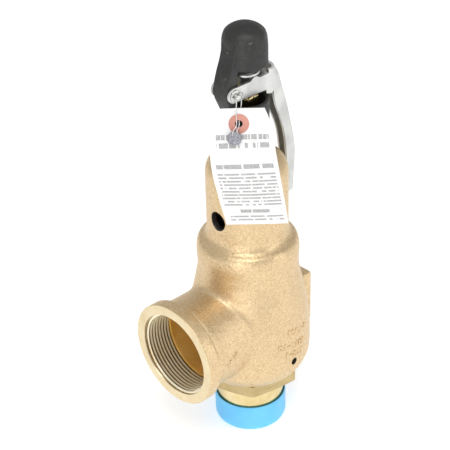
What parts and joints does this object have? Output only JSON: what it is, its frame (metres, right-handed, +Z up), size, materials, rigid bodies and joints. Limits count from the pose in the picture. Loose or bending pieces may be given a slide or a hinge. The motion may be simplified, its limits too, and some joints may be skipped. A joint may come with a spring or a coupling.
{
  "type": "pressure relief valve",
  "caption": "Side-outlet pressure relief valve: cast body with spring neck, threaded outlet, hex inlet nozzle with thread cap, black lever cap, lift lever, seal wire and blank tag.",
  "frame": {"origin": "centre of the thread protector's flat bottom, on the valve's axis", "axes": "+Z up along the valve's axis, -Y out of the outlet, the lever's handle on the +Y side, +X to the right seen from the outlet"},
  "size_m": [0.1072, 0.153, 0.3847],
  "materials": {
    "cast_bronze": "sand-cast, bead blasted",
    "machined_brass": "machined, satin",
    "zinc_steel": "zinc plated, satin",
    "spring_steel": "oiled",
    "stainless": "machined",
    "black_iron": "black paint, satin, worn",
    "blue_plastic": "moulded, slightly translucent",
    "tag_card": "white card, coated",
    "lead": "crimped lead",
    "nameplate": "brushed, blank"
  },
  "bodies": {
    "valve_body": {"body": "cast_bronze", "nozzle": "machined_brass", "nameplate": "nameplate", "drive_screw_1": "stainless", "drive_screw_2": "stainless", "drive_screw_3": "stainless", "drive_screw_4": "stainless", "ring_set_screw": "stainless", "disc_guide": "machined_brass", "spring": "spring_steel", "upper_spring_step": "zinc_steel", "compression_lock_nut": "machined_brass", "lever_cap": "black_iron", "cap_set_screw_1": "zinc_steel", "cap_set_screw_2": "zinc_steel", "cap_set_screw_3": "zinc_steel", "pivot_pin": "zinc_steel", "pivot_washer": "zinc_steel", "cotter_pin": "stainless", "tag": "tag_card", "lead_seal": "lead", "seal_wire_front": "stainless", "seal_wire_back": "stainless"},
    "lever": {"lever": "zinc_steel"},
    "protector": {"thread_protector": "blue_plastic"},
    "adjusting_screw": {"compression_screw": "machined_brass"},
    "blowdown_ring": {"regulator_ring": "machined_brass"},
    "lift_group": {"disc": "stainless", "disc_retaining_clip": "stainless", "disc_holder": "machined_brass", "stem": "stainless", "lower_spring_step": "zinc_steel", "lifting_washer": "zinc_steel", "lifting_nut": "zinc_steel", "lifting_jam_nut": "zinc_steel"}
  },
  "joints": [
    {"name": "lever_lift", "type": "hinge", "parent": "valve_body", "child": "lever", "pos_m": [0, -0.0216, 0.3329], "axis": [1, 0, 0], "range_deg": [0, 11]},
    {"name": "disc_lift", "type": "slide", "parent": "valve_body", "child": "lift_group", "axis": [0, 0, 1], "range_m": [0, 0.0043], "stiffness_N_per_m": 500, "springref_m": -0.004, "deforming": ["spring"]},
    {"name": "protector_pull", "type": "slide", "parent": "valve_body", "child": "protector", "axis": [0, 0, -1], "range_m": [0, 0.03]},
    {"name": "spring_adjustment", "type": "hinge", "parent": "valve_body", "child": "adjusting_screw", "pos_m": [0, 0, 0.29], "axis": [0, 0, 1], "range_deg": [-180, 180]},
    {"name": "ring_adjustment", "type": "hinge", "parent": "valve_body", "child": "blowdown_ring", "pos_m": [0, 0, 0.083], "axis": [0, 0, 1], "range_deg": [-90, 90]}
  ],
  "couplings": [
    {"joint": "disc_lift", "follows": "lever_lift", "m_per_rad": 0.022}
  ]
}
